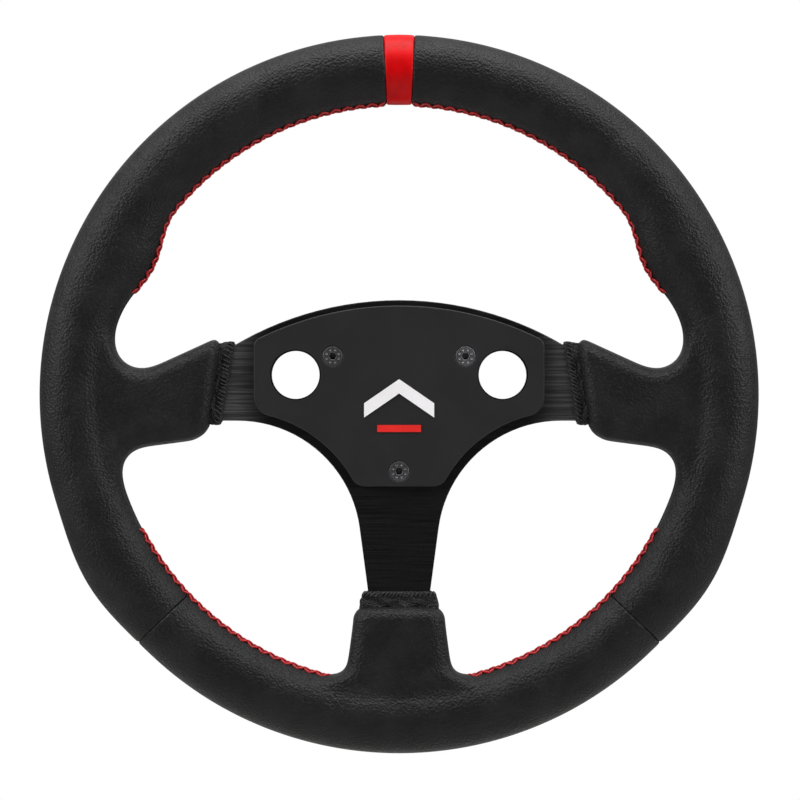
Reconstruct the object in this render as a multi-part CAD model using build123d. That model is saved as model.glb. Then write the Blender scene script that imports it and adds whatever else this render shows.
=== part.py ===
from build123d import *
import os
from math import cos, radians, sin, sqrt

# A 330 mm quick release steering wheel, in millimetres.
# The wheel's face looks along -Y, its twelve o'clock is +Z, and its axis is the Y axis.
# The origin is the centre of the mouth of the column socket, where the steering column goes in along -Y.
# Depths called "u" are measured along +Y from the rim's middle plane, so y = RIM_Y + u.
# Places in the wheel's plane are (x, z). Angles round the wheel are degrees from twelve o'clock.

# ---- driving dimensions ----
RIM_Y = -78.0                      # the rim's middle plane
RIM_OUTER_R = 165.0                # a 330 mm wheel
RIM_INNER_R = 132.8
RIM_HALF_DEPTH = 13.5
RIM_CENTRE_R = (RIM_OUTER_R + RIM_INNER_R) / 2
RIM_HALF_WIDTH = (RIM_OUTER_R - RIM_INNER_R) / 2
LEATHER = 1.2                      # thickness of the hide
SEAM_ANGLE = 133.5                 # seam between the side hides and the bottom hide
BAND_HALF_ANGLE = 2.45             # the red centre marker
THUMB_ANGLE = 62.5                 # thumb rests on the rim's inside
THUMB_DEPTH = 5.9
THUMB_HALF = (12.7, 27.0, 11.5)    # half its radial size, its length along the rim and its thickness
HEEL_ANGLE = 121.5                 # palm swells on the rim's outside
HEEL_HEIGHT = 2.3
HEEL_HALF = (14.3, 55.0, 11.0)
THREAD_R = 0.7
THREAD_GAP = 0.02                  # between the stitching and the hide

RING_TUBE_R = 5.0                  # steel tube inside the rim
RING_WALL = 1.5
SPOKE_THICK = 5.0
FACE_THICK = 3.0
EDGE_BREAK = 0.4                   # chamfer on the plates' edges
PITCH_R = 35.0                     # six screws on a 70 mm circle
BUTTON_X, BUTTON_Z = 47.4, 9.0     # centres of the two button holes
BUTTON_R = 11.0                    # in the spoke plate, to take a 22 mm button
BUTTON_LIP_R = 11.6                # in the cover plate, which stands clear of it

SCREW_R = 2.45                     # M5
SCREW_HOLE_R = 2.65
THREAD_HOLE_R = 2.5
HEAD_R = 4.9                       # countersunk heads
HEX_ACROSS_FLATS = 3.0
HEX_DEPTH = 2.0

BARREL_R = 22.0                    # outside of the coupler barrel
SOCKET_R = 15.5                    # its plain bore
SPIGOT_R = 15.4
SLEEVE_R = 19.0
PILOT_R = 10.0
TOOTH_COUNT = 12                   # one is left out, so the wheel goes on one way only
TOOTH_ROOT_R = 13.6
FIT = 0.1                          # radial clearance of the spline
BALL_R = 4.0
BALL_COUNT = 6
BALL_LOCKED_R = 18.05              # a ball's centre, locked in the spigot's groove
BALL_TRAVEL = 1.6
COLLAR_TRAVEL = 6.0
COLLAR_R = 29.0
FLANGE_R = 33.0
COLUMN_R = 9.6                     # takes a 19.05 mm (3/4 in) steering column
COLUMN_DEPTH = 26.0

# depths u, from the face of the wheel to the column
PLATE_FRONT = -SPOKE_THICK / 2
PLATE_BACK = SPOKE_THICK / 2
FACE_FRONT = PLATE_FRONT - FACE_THICK
LOBE_BACK = PLATE_BACK + 7.0
SLEEVE_FLOOR = 10.3
SLEEVE_END = 26.8
BALL_U = 36.0
BARREL_END = 46.0
RING_FRONT, RING_THICK = 43.15, 1.2
SHOULDER_FRONT = 47.0
SHOULDER_BACK = 51.0
SPIGOT_END = -RIM_Y


# ---- small helpers ----
def at(u):
    """The y of a depth u."""
    return RIM_Y + u


def slab(sketch, u0, u1):
    """A flat outline in the wheel's plane, given thickness from depth u0 to u1."""
    return extrude(Plane.XZ.offset(-at(u1)) * sketch, amount=u1 - u0)


def rod(radius, u0, u1, x=0.0, z=0.0):
    """A round bar along the wheel's axis."""
    return Pos(x, at((u0 + u1) / 2), z) * Rot(90, 0, 0) * Cylinder(radius, u1 - u0)


def turned(*profile):
    """A body turned about the wheel's axis from a closed profile of (radius, u) points."""
    outline = Polyline(*[(r, at(u)) for r, u in profile], close=True)
    return revolve(make_face(outline), axis=Axis.Y)


def ring(radius, tube_r, u=0.0):
    """A round ring about the wheel's axis."""
    return Pos(0, at(u), 0) * Rot(90, 0, 0) * Torus(radius, tube_r)


def clock(angle, radius):
    """(x, z) at an angle from twelve o'clock, clockwise as the driver sees it."""
    return radius * sin(radians(angle)), radius * cos(radians(angle))


def turn(angle, solid):
    """The solid turned about the wheel's axis, clockwise as the driver sees it."""
    return Rot(0, angle, 0) * solid


def sector(start, end, reach=260.0):
    """A wedge about the axis between two angles, under 180 degrees apart, as deep as the rim."""
    corners = [(0, 0), clock(start, reach), clock((start + end) / 2, reach), clock(end, reach)]
    return slab(make_face(Polyline(*corners, close=True)), -30, 30)


def block(x0, x1, z0, z1, u0, u1):
    """A box with its faces square to the wheel."""
    return Pos((x0 + x1) / 2, at((u0 + u1) / 2), (z0 + z1) / 2) * Box(x1 - x0, u1 - u0, z1 - z0)


def mirrored(shape):
    """The mirror image across the wheel's middle."""
    return mirror(shape, about=Plane.YZ)


# ---- outlines in the wheel's plane, (x, z) ----
TOP_ARC_R, TOP_ARC_Z = 148.2, -105.0         # upper edge of the spoke plate
CUT_ARC_R, CUT_X, CUT_Z = 56.4, 74.0, -68.4  # the hollow between the lower spoke and a side spoke
ARM_END_X = 77.0
ARM_LOW = CUT_Z + CUT_ARC_R
ARM_TIP_TOP = 8.0
SPOKE_LOW_HALF = 14.2
SPOKE_TAPER_Z = -90.2


def top_arc_z(x, inset=0.0):
    return TOP_ARC_Z + sqrt((TOP_ARC_R - inset) ** 2 - x ** 2)


def symmetric(right):
    """A closed face from the lines of its right-hand half."""
    return make_face([*right, *[mirror(line, about=Plane.YZ) for line in right]])


def spoke_outline():
    """The three-spoke plate: an arched top, two side arms and a lower arm that narrows."""
    arm_top = top_arc_z(ARM_END_X)
    lean = radians(7.6)
    hip = (CUT_X - CUT_ARC_R * cos(lean), CUT_Z + CUT_ARC_R * sin(lean))
    knee = (CUT_X - CUT_ARC_R * sin(radians(45)), CUT_Z + CUT_ARC_R * cos(radians(45)))
    quarter = ARM_END_X / 2
    return symmetric([
        ThreePointArc((0, top_arc_z(0)), (quarter, top_arc_z(quarter)), (ARM_END_X, arm_top)),
        Polyline((ARM_END_X, arm_top), (84.0, 19.5), (112.0, ARM_TIP_TOP), (RIM_CENTRE_R, ARM_TIP_TOP),
                 (RIM_CENTRE_R, ARM_LOW), (CUT_X, ARM_LOW)),
        ThreePointArc((CUT_X, ARM_LOW), knee, hip),
        Polyline(hip, (SPOKE_LOW_HALF, SPOKE_TAPER_Z), (SPOKE_LOW_HALF, -RIM_CENTRE_R), (0, -RIM_CENTRE_R)),
    ])


FACE_HALF_W = 66.3
FACE_BOTTOM = -42.0
FACE_TOP_INSET = 2.6
FACE_CUT_INSET = 4.0


def face_outline():
    """The cover plate: the spoke plate's middle, drawn in by a narrow border and with round corners."""
    cut_r = CUT_ARC_R + FACE_CUT_INSET
    side_top = top_arc_z(FACE_HALF_W, FACE_TOP_INSET)
    side_low = CUT_Z + sqrt(cut_r ** 2 - (CUT_X - FACE_HALF_W) ** 2)
    foot_x = CUT_X - sqrt(cut_r ** 2 - (FACE_BOTTOM - CUT_Z) ** 2)
    knee = (CUT_X - cut_r * sin(radians(40)), CUT_Z + cut_r * cos(radians(40)))
    quarter = FACE_HALF_W / 2
    face = symmetric([
        ThreePointArc((0, top_arc_z(0, FACE_TOP_INSET)), (quarter, top_arc_z(quarter, FACE_TOP_INSET)),
                      (FACE_HALF_W, side_top)),
        Line((FACE_HALF_W, side_top), (FACE_HALF_W, side_low)),
        ThreePointArc((FACE_HALF_W, side_low), knee, (foot_x, FACE_BOTTOM)),
        Line((foot_x, FACE_BOTTOM), (0, FACE_BOTTOM)),
    ])
    for low, high, radius in ((-50, -30, 7.0), (-30, 10, 9.0), (10, 30, 4.5)):
        corners = [v for v in face.vertices().filter_by_position(Axis.Y, low, high) if abs(v.X) > 1]
        face = fillet(corners, radius)
    return face


def side_boot_outline():
    """The padded root of the right-hand spoke, from its slanting end into the rim."""
    buried_x = 143.0
    face = make_face([
        Polyline((112.0, 13.4), (82.0, 26.7), (88.4, -17.7), (116.0, -23.6)),
        ThreePointArc((116.0, -23.6), (124.6, -28.4), (127.9, -37.0)),
        Polyline((127.9, -37.0), (buried_x, -37.0), (buried_x, 21.0), (130.8, 21.0)),
        ThreePointArc((130.8, 21.0), (121.0, 11.7), (112.0, 13.4)),
    ])
    return fillet([v for v in face.vertices() if v.X < 95], 3.0)


def low_boot_outline():
    """The padded root of the lower spoke."""
    buried_z = -143.0
    return symmetric([
        Polyline((0, -96.2), (20.3, -96.2), (23.2, -120.5)),
        ThreePointArc((23.2, -120.5), (25.4, -125.2), (31.0, -127.4)),
        Polyline((31.0, -127.4), (31.0, buried_z), (0, buried_z)),
    ])


# ---- the padding and its hide ----
BOOT_HALF = 8.5                    # half the depth of the padding at the spokes
BOOT_EDGE = 4.0
HEM_HALF = PLATE_BACK + 1.2


def swell(angle, radius, half_sizes, inset):
    """An egg lying along the rim, given its half-sizes, drawn in by inset."""
    x, z = clock(angle, radius)
    radial, along, depth = (size - inset for size in half_sizes)
    return Pos(x, RIM_Y, z) * Rot(0, angle, 0) * scale(Sphere(1.0), by=(along, depth, radial))


def boot(outline, inset):
    """A padded spoke root with rounded edges, front and back."""
    if inset:
        outline = offset(outline, -inset, kind=Kind.INTERSECTION)
    body = slab(outline, inset - BOOT_HALF, BOOT_HALF - inset)
    rims = body.faces().sort_by(Axis.Y)
    return fillet([*rims[0].edges(), *rims[-1].edges()], BOOT_EDGE)


def padded_rim(inset):
    """The rim with its thumb rests, palm swells and padded spoke roots, all drawn in by inset."""
    section = Pos(RIM_CENTRE_R, RIM_Y) * Ellipse(RIM_HALF_WIDTH - inset, RIM_HALF_DEPTH - inset)
    rim = turn(45, revolve(section, axis=Axis.Y))
    thumb = swell(THUMB_ANGLE, RIM_INNER_R - THUMB_DEPTH + THUMB_HALF[0], THUMB_HALF, inset)
    heel = swell(HEEL_ANGLE, RIM_OUTER_R + HEEL_HEIGHT - HEEL_HALF[0], HEEL_HALF, inset)
    side = boot(side_boot_outline(), inset)
    low = boot(low_boot_outline(), inset)
    for solid in (thumb, heel, side, low, mirrored(side), mirrored(thumb), mirrored(heel)):
        rim += solid
    return rim


# ---- parts of the wheel ----
def screw_places(first):
    """Every other hole of the 70 mm circle, from an angle."""
    return [clock(first + 120 * k, PITCH_R) for k in range(3)]


FACE_SCREWS = screw_places(60)
HUB_SCREWS = screw_places(0)


def countersink(u, x, z):
    """The cutter for a countersunk screw whose head is flush at depth u."""
    slope = HEAD_R + 0.1 - SCREW_HOLE_R
    cone = Pos(x, at(u + slope / 2), z) * Rot(90, 0, 0) * Cone(SCREW_HOLE_R, HEAD_R + 0.1, slope)
    return cone + rod(SCREW_HOLE_R, u, PLATE_BACK, x, z)


def countersunk_screw(u, length, x, z):
    """An M5 countersunk screw with a hexagon socket, its head flush at depth u."""
    slope = HEAD_R - SCREW_R
    head = Pos(x, at(u + slope / 2), z) * Rot(90, 0, 0) * Cone(SCREW_R, HEAD_R, slope)
    key = Pos(x, z) * RegularPolygon(HEX_ACROSS_FLATS / 2, 6, major_radius=False)
    return head + rod(SCREW_R, u + slope, u + length, x, z) - slab(key, u - 1, u + HEX_DEPTH)


def button_holes(plate, radius):
    for x in (-BUTTON_X, BUTTON_X):
        plate -= rod(radius, FACE_FRONT - 1, PLATE_BACK + 1, x, BUTTON_Z)
    return plate


def make_spoke_plate():
    plate = slab(spoke_outline(), PLATE_FRONT, PLATE_BACK) & rod(RIM_CENTRE_R, PLATE_FRONT, PLATE_BACK)
    broken_edges = plate.faces().sort_by(Axis.Y)
    plate = chamfer([*broken_edges[0].edges(), *broken_edges[-1].edges()], EDGE_BREAK)
    plate = button_holes(plate - ring(RIM_CENTRE_R, RING_TUBE_R), BUTTON_R)
    for x, z in HUB_SCREWS:
        plate -= countersink(PLATE_FRONT, x, z)
    for x, z in FACE_SCREWS:
        plate -= rod(SCREW_HOLE_R, PLATE_FRONT - 1, PLATE_BACK + 1, x, z)
    return plate


def make_face_plate():
    plate = slab(face_outline(), FACE_FRONT, PLATE_FRONT)
    plate = chamfer(plate.faces().sort_by(Axis.Y)[0].edges(), EDGE_BREAK)
    plate = button_holes(plate, BUTTON_LIP_R)
    for x, z in FACE_SCREWS:
        plate -= countersink(FACE_FRONT, x, z)
    return plate


def make_weld_beads(plate):
    """Fillet welds along both faces of each arm where it meets the ring."""
    side_weld = block(100, 160, ARM_LOW, ARM_TIP_TOP, -9, 9)
    low_weld = block(-SPOKE_LOW_HALF, SPOKE_LOW_HALF, -160, -100, -9, 9)
    weld_r, root_r, root_u = 2.0, RIM_CENTRE_R - RING_TUBE_R + 0.3, PLATE_BACK + 0.8
    beads = []
    for u in (-root_u, root_u):
        bead = ring(root_r, weld_r, u) - ring(RIM_CENTRE_R, RING_TUBE_R) - plate
        for span in (side_weld, mirrored(side_weld), low_weld):
            beads += (bead & span).solids()
    return beads


def make_foam(core, skeleton, welds, start):
    """A third of the foam round the ring. The three meet face to face."""
    foam = (core & sector(start, start + 120)) - skeleton
    for bead in welds:
        foam -= bead
    return foam.solid()


def make_hem(outline, arms, pads):
    """The flat end of the hide, folded round the arm past the padding."""
    return slab(make_face(Polyline(*outline, close=True)), -HEM_HALF, HEM_HALF) - arms - pads


SIDE_HEM = [(74.7, 22.9), (86.0, 22.9), (92.0, -13.2), (80.9, -13.2)]
LOW_HEM = [(-15.4, -89.8), (15.4, -89.8), (17.0, -99.0), (-17.0, -99.0)]


def make_thread(start, end):
    """A row of stitching along the rim's inner edge, as one thin bead of thread."""
    place = Pos(RIM_INNER_R - THREAD_R - THREAD_GAP, RIM_Y)
    bead = revolve(place * Circle(THREAD_R), axis=Axis.Y, revolution_arc=end - start)
    return turn(start - 90, bead)


PRINT_THICK = 0.4


def make_emblem_chevron():
    """A plain upward chevron, printed as a thin raised layer."""
    arm, rise, width = 16.0, 11.0, 6.5       # half its span, its height and the stroke's height
    points = [(0, rise), (arm, 0), (arm, -width), (0, rise - width), (-arm, -width), (-arm, 0)]
    outline = Pos(0, -4.0) * make_face(Polyline(*points, close=True))
    return slab(outline, FACE_FRONT - PRINT_THICK, FACE_FRONT)


def make_emblem_bar():
    return slab(Pos(0, -15.5) * Rectangle(20, 3.2), FACE_FRONT - PRINT_THICK, FACE_FRONT)


# ---- the quick release, wheel side ----
SEAT_THICK = 1.0
WIRE_R = 0.8
SPRING_R = 24.0
CHAMBER_R = 26.0
LAND_R = 22.06
RAMP = BALL_TRAVEL / COLLAR_TRAVEL
COLLAR_BACK = 48.0                 # where the collar ends when it has locked
LAND_FRONT, LAND_BACK = 29.0, 35.0
POCKET_U = 43.0                    # the collar's pocket for the retaining ring


def spline_tooth(extra):
    """One tooth of the spline at twelve o'clock, grown all round by extra."""
    root, tip = TOOTH_ROOT_R - 1.0, SPIGOT_R + extra
    half_root, half_tip = 2.1 + extra, 1.5 + extra
    return make_face(Polyline((-half_root, root), (half_root, root), (half_tip, tip), (-half_tip, tip), close=True))


def spline_teeth(extra, u0, u1):
    teeth = [turn(360 / TOOTH_COUNT * k, slab(spline_tooth(extra), u0, u1)) for k in range(1, TOOTH_COUNT)]
    return Part() + teeth & rod(SPIGOT_R + extra, u0, u1)


def make_coupler_body():
    """A turned aluminium hub with a six-lobed flange, which carries the lock balls."""
    body = rod(30.0, PLATE_BACK, LOBE_BACK) + rod(BARREL_R, LOBE_BACK, BARREL_END)
    for x, z in (*FACE_SCREWS, *HUB_SCREWS):
        body += rod(6.0, PLATE_BACK, LOBE_BACK, x, z)
    for x, z in (*FACE_SCREWS, *HUB_SCREWS):
        body -= rod(THREAD_HOLE_R, PLATE_BACK - 1, LOBE_BACK + 1, x, z)
    body -= rod(SLEEVE_R, PLATE_BACK - 1, SLEEVE_END)
    body -= rod(SOCKET_R, SLEEVE_END - 1, BARREL_END + 1)
    body -= turned((SOCKET_R - 1, BARREL_END - 2), (SOCKET_R + 1, BARREL_END), (SOCKET_R + 1, BARREL_END + 1),
                   (SOCKET_R - 1, BARREL_END + 1))
    groove = RING_FRONT - 0.05, RING_FRONT + RING_THICK + 0.05
    body -= rod(BARREL_R + 1, *groove) - rod(BARREL_R - 1.0, groove[0] - 1, groove[1] + 1)
    lip_r, lip_top = 3.4, 15.9               # the narrow mouth that stops a ball falling inwards
    for k in range(BALL_COUNT):
        hole = Pos(0, at(BALL_U), 17) * Cylinder(lip_r, 8)
        hole += Pos(0, at(BALL_U), lip_top + 5) * Cylinder(BALL_R + 0.1, 10)
        body -= turn(360 / BALL_COUNT * k, hole)
    return body - make_sleeve_pin()


def make_sleeve_pin():
    """The dowel that keeps the spline sleeve from turning in the coupler."""
    x, z = clock(30, SLEEVE_R)
    return rod(1.5, PLATE_BACK, PLATE_BACK + 10, x, z)


def make_spline_sleeve():
    """The hardened steel insert with the inner teeth."""
    sleeve = rod(SLEEVE_R, PLATE_BACK, SLEEVE_END) - rod(PILOT_R + 0.05, PLATE_BACK - 1, SLEEVE_FLOOR + 1)
    sleeve -= rod(TOOTH_ROOT_R + FIT, SLEEVE_FLOOR, SLEEVE_END + 1)
    sleeve -= spline_teeth(FIT, SLEEVE_FLOOR, SLEEVE_END + 1)
    return sleeve - make_sleeve_pin()


def make_collar_spring():
    """The coil spring that pushes the collar towards the column, to lock it."""
    front, back = LOBE_BACK + SEAT_THICK, LAND_FRONT - COLLAR_TRAVEL
    height = back - front - 2 * WIRE_R - 0.2
    path = Helix(height / 4, height, SPRING_R)
    wire = sweep(Plane(path @ 0, z_dir=path % 0) * Circle(WIRE_R), path=path)
    return Pos(0, at((front + back) / 2) + height / 2, 0) * Rot(90, 0, 0) * wire


def make_retaining_ring():
    """A spring steel ring in the barrel's groove, open at the bottom, which keeps the collar on."""
    full = rod(25.0, RING_FRONT, RING_FRONT + RING_THICK) - rod(BARREL_R - 0.95, 0, SHOULDER_BACK)
    return full - block(-3.5, 3.5, -30, -15, RING_FRONT - 1, RING_FRONT + RING_THICK + 1)


def make_release_collar():
    """The sliding collar with a knurled finger flange, drawn back to the released position."""
    lip = LAND_R + RAMP * (POCKET_U - LAND_BACK)
    profile = [(COLLAR_R, 19), (COLLAR_R, 36), (FLANGE_R, 39.5), (FLANGE_R, 47), (FLANGE_R - 1, COLLAR_BACK),
               (25.6, COLLAR_BACK), (25.6, POCKET_U), (lip, POCKET_U), (LAND_R, LAND_BACK),
               (LAND_R, LAND_FRONT), (CHAMBER_R, LAND_FRONT), (CHAMBER_R, 19)]
    collar = turned(*[(r, u - COLLAR_TRAVEL) for r, u in profile])
    for k in range(12):
        x, z = clock(30 * k + 15, FLANGE_R + 3.4)
        collar -= rod(5.0, 36 - COLLAR_TRAVEL, COLLAR_BACK + 1, x, z)
    return collar


def make_lock_ball(k):
    x, z = clock(360 / BALL_COUNT * k, BALL_LOCKED_R + BALL_TRAVEL)
    return Pos(x, at(BALL_U), z) * Sphere(BALL_R)


# ---- the quick release, column side ----
O_RING_U, O_RING_R = 7.0, 0.75


def make_column_spigot():
    """The steel spigot, welded on the column: socket, shoulder, ball groove, spline and pilot nose."""
    nose, teeth_front, teeth_back = 3.5, SLEEVE_FLOOR + 0.7, SLEEVE_END - 0.3
    land_front = teeth_back + 1.2
    spigot = turned((0, nose), (PILOT_R - 1, nose), (PILOT_R, nose + 1), (PILOT_R, teeth_front),
                    (TOOTH_ROOT_R, teeth_front), (TOOTH_ROOT_R, land_front), (SPIGOT_R, land_front),
                    (SPIGOT_R, SHOULDER_FRONT), (20, SHOULDER_FRONT), (20, SHOULDER_BACK), (16, SHOULDER_BACK),
                    (16, SPIGOT_END - 2), (14, SPIGOT_END), (0, SPIGOT_END))
    spigot += spline_teeth(0.0, teeth_front, teeth_back)
    spigot -= ring(BALL_LOCKED_R, BALL_R + 0.1, BALL_U)
    spigot -= ring(PILOT_R - 0.75, O_RING_R + 0.05, O_RING_U)
    return spigot - rod(COLUMN_R, SPIGOT_END - COLUMN_DEPTH, SPIGOT_END + 1)


def make_shoulder_washer():
    """A thin acetal washer between the barrel's end and the spigot's shoulder."""
    return rod(20.0, BARREL_END + 0.05, SHOULDER_FRONT) - rod(SPIGOT_R + 0.05, BARREL_END - 1, SHOULDER_FRONT + 1)


# ---- build every piece ----
def make_all():
    plate = make_spoke_plate()
    solid_ring = ring(RIM_CENTRE_R, RING_TUBE_R)
    welds = make_weld_beads(plate)
    arms = slab(spoke_outline(), PLATE_FRONT, PLATE_BACK)
    core = padded_rim(LEATHER)
    foam = [make_foam(core, solid_ring + arms, welds, start) for start in (0, 120, 240)]
    pads = padded_rim(0.0)
    hide = pads - core - arms
    thread_ends = (BAND_HALF_ANGLE + 1, 50), (119, 164)

    nodes = {
        "column_spigot": make_column_spigot(),
        "spigot_o_ring": ring(PILOT_R - 0.75, O_RING_R, O_RING_U),
        "shoulder_washer": make_shoulder_washer(),
        "rim_ring": solid_ring - ring(RIM_CENTRE_R, RING_TUBE_R - RING_WALL),
        "spoke_plate": plate,
        "weld_beads": Compound(welds),
        "rim_foam": Compound(foam),
        "leather_upper_right": hide & sector(BAND_HALF_ANGLE, SEAM_ANGLE),
        "leather_upper_left": hide & sector(-SEAM_ANGLE, -BAND_HALF_ANGLE),
        "leather_lower": hide & sector(SEAM_ANGLE, 360 - SEAM_ANGLE),
        "marker_band": hide & sector(-BAND_HALF_ANGLE, BAND_HALF_ANGLE),
        "hem_right": make_hem(SIDE_HEM, arms, pads),
        "hem_left": make_hem([(-x, z) for x, z in SIDE_HEM], arms, pads),
        "hem_lower": make_hem(LOW_HEM, arms, pads),
        "face_plate": make_face_plate(),
        "emblem_chevron": make_emblem_chevron(),
        "emblem_bar": make_emblem_bar(),
        "face_screws": Part() + [countersunk_screw(FACE_FRONT, 14, x, z) for x, z in FACE_SCREWS],
        "hub_screws": Part() + [countersunk_screw(PLATE_FRONT, 10, x, z) for x, z in HUB_SCREWS],
        "coupler_body": make_coupler_body(),
        "spline_sleeve": make_spline_sleeve(),
        "sleeve_pin": make_sleeve_pin(),
        "spring_seat": rod(25.5, LOBE_BACK, LOBE_BACK + SEAT_THICK) - rod(BARREL_R + 0.05, 0, 60),
        "collar_spring": make_collar_spring(),
        "retaining_ring": make_retaining_ring(),
        "release_collar": make_release_collar(),
    }
    for name, ends in zip(("upper", "lower"), thread_ends):
        right = make_thread(*ends)
        nodes[f"stitching_{name}_right"] = right
        nodes[f"stitching_{name}_left"] = mirrored(right)
    for k in range(BALL_COUNT):
        nodes[f"lock_ball_{k + 1}"] = make_lock_ball(k)
    return nodes


os.makedirs("parts", exist_ok=True)
for name, shape in make_all().items():
    export_step(shape, f"parts/{name}.step")
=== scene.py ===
import bpy
import numpy as np
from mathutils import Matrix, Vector


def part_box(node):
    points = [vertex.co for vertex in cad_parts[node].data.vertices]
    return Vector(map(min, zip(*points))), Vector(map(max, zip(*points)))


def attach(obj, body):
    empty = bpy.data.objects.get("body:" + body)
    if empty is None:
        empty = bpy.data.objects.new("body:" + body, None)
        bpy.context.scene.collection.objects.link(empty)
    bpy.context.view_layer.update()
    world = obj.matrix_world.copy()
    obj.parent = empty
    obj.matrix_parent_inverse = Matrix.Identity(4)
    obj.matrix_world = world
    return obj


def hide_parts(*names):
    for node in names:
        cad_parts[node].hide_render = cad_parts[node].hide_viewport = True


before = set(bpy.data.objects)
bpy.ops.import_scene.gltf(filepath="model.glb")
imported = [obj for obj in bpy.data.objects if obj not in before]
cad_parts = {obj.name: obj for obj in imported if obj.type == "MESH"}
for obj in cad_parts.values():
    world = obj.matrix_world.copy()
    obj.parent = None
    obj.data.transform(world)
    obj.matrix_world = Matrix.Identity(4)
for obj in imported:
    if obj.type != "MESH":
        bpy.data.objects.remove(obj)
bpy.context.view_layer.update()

# ---------------------------------------------------------------------------------------------------
# The studio: a pale floor well below the wheel, soft light from above and from the sides, and a camera
# straight in front. The world is white to the camera and dims towards the driver's side, as a black
# card does, so that black leather stays black.
# ---------------------------------------------------------------------------------------------------
MM = 0.001                                    # every size below is in millimetres


def colour(code):
    """An sRGB hex colour as linear red, green, blue and alpha."""
    srgb = np.array([int(code[i:i + 2], 16) for i in (1, 3, 5)]) / 255
    linear = np.where(srgb <= 0.04045, srgb / 12.92, ((srgb + 0.055) / 1.055) ** 2.4)
    return (*linear.tolist(), 1.0)


def add(tree, kind, settings=None, links=None):
    """Adds a shader node. Settings are socket values or properties, by name or socket number; links
    join sockets to the outputs of other nodes."""
    made = tree.nodes.new("ShaderNode" + kind)
    for key, value in (settings or {}).items():
        if isinstance(key, int) or key in made.inputs:
            made.inputs[key].default_value = value
        else:
            setattr(made, key, value)
    for key, output in (links or {}).items():
        tree.links.new(output, made.inputs[key])
    return made


def finish_material(name, **settings):
    """A new Principled material. Returns it with its node tree and shader."""
    made = bpy.data.materials.new(name)
    made.use_nodes = True
    shader = made.node_tree.nodes["Principled BSDF"]
    for key, value in settings.items():
        shader.inputs[key.replace("_", " ")].default_value = value
    return made, made.node_tree, shader


def ramp(tree, source, low, high, start, end):
    """A smooth blend from low to high as the source goes from start to end."""
    made = add(tree, "MapRange", {1: start, 2: end, 3: low, 4: high, "interpolation_type": "SMOOTHSTEP"},
               {0: source})
    return made.outputs[0]


def soft_light(name, place, aim, size, watts):
    """A rectangular softbox at a place, turned towards a point, in metres."""
    lamp = bpy.data.lights.new(name, "AREA")
    lamp.shape, lamp.size, lamp.size_y = "RECTANGLE", size[0], size[1]
    lamp.energy = watts
    holder = bpy.data.objects.new(name, lamp)
    holder.location = place
    holder.rotation_euler = (Vector(aim) - Vector(place)).to_track_quat("-Z", "Y").to_euler()
    bpy.context.scene.collection.objects.link(holder)


ring_low, ring_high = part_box("rim_ring")
RIM_Y = (ring_low.y + ring_high.y) / 2 / MM   # the rim's middle plane

world = bpy.data.worlds.new("studio")
world.use_nodes = True
bpy.context.scene.world = world
tree = world.node_tree
tree.nodes.clear()
direction = add(tree, "TexCoord").outputs["Generated"]
axis = add(tree, "SeparateXYZ", links={0: direction})
lit = ramp(tree, axis.outputs["Y"], 0.03, 0.8, -0.45, 0.55)
sky = ramp(tree, axis.outputs["Z"], 0.28, 1.3, -0.35, 0.8)
amount = add(tree, "Math", {"operation": "MULTIPLY"}, {0: lit, 1: sky})
dim = add(tree, "Background", links={"Strength": amount.outputs[0]})
white = add(tree, "Background", {"Strength": 1.0, "Color": colour("#ffffff")})
seen = add(tree, "LightPath").outputs["Is Camera Ray"]
both = add(tree, "MixShader", links={0: seen, 1: dim.outputs[0], 2: white.outputs[0]})
add(tree, "OutputWorld", links={0: both.outputs[0]})

soft_light("top_softbox", (0.0, -0.35, 1.1), (0, RIM_Y * MM, 0.05), (1.6, 0.8), 27)
soft_light("left_softbox", (-1.15, -0.6, 0.45), (0, RIM_Y * MM, 0), (0.5, 1.1), 15)
soft_light("right_softbox", (1.15, -0.6, 0.45), (0, RIM_Y * MM, 0), (0.5, 1.1), 15)

bpy.context.scene.view_settings.view_transform = "Standard"

FLOOR_Z = -0.55
FLOOR_HALF, FLOOR_BACK = 3.0, 0.9
corners = [(-FLOOR_HALF, -FLOOR_HALF, FLOOR_Z), (FLOOR_HALF, -FLOOR_HALF, FLOOR_Z),
           (FLOOR_HALF, FLOOR_BACK, FLOOR_Z), (-FLOOR_HALF, FLOOR_BACK, FLOOR_Z)]
floor_mesh = bpy.data.meshes.new("floor")
floor_mesh.from_pydata(corners, [], [(0, 1, 2, 3)])
floor = bpy.data.objects.new("floor", floor_mesh)
bpy.context.scene.collection.objects.link(floor)
paper = finish_material("matte_pale_paper", Base_Color=colour("#cfcecc"), Roughness=0.9)[0]
floor_mesh.materials.append(paper)

CAMERA_DISTANCE = 1.2                         # from the wheel's middle plane
FRAME_WIDTH = 0.3667                          # what the view takes in at that plane
CAMERA_X, CAMERA_Z = 0.0004, -0.0025
lens = bpy.data.cameras.new("front_camera")
lens.sensor_width = 36.0
lens.lens = 36.0 * CAMERA_DISTANCE / FRAME_WIDTH
camera = bpy.data.objects.new("front_camera", lens)
camera.location = (CAMERA_X, RIM_Y * MM - CAMERA_DISTANCE, CAMERA_Z)
camera.rotation_euler = (np.pi / 2, 0, 0)
bpy.context.scene.collection.objects.link(camera)
bpy.context.scene.camera = camera

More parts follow.
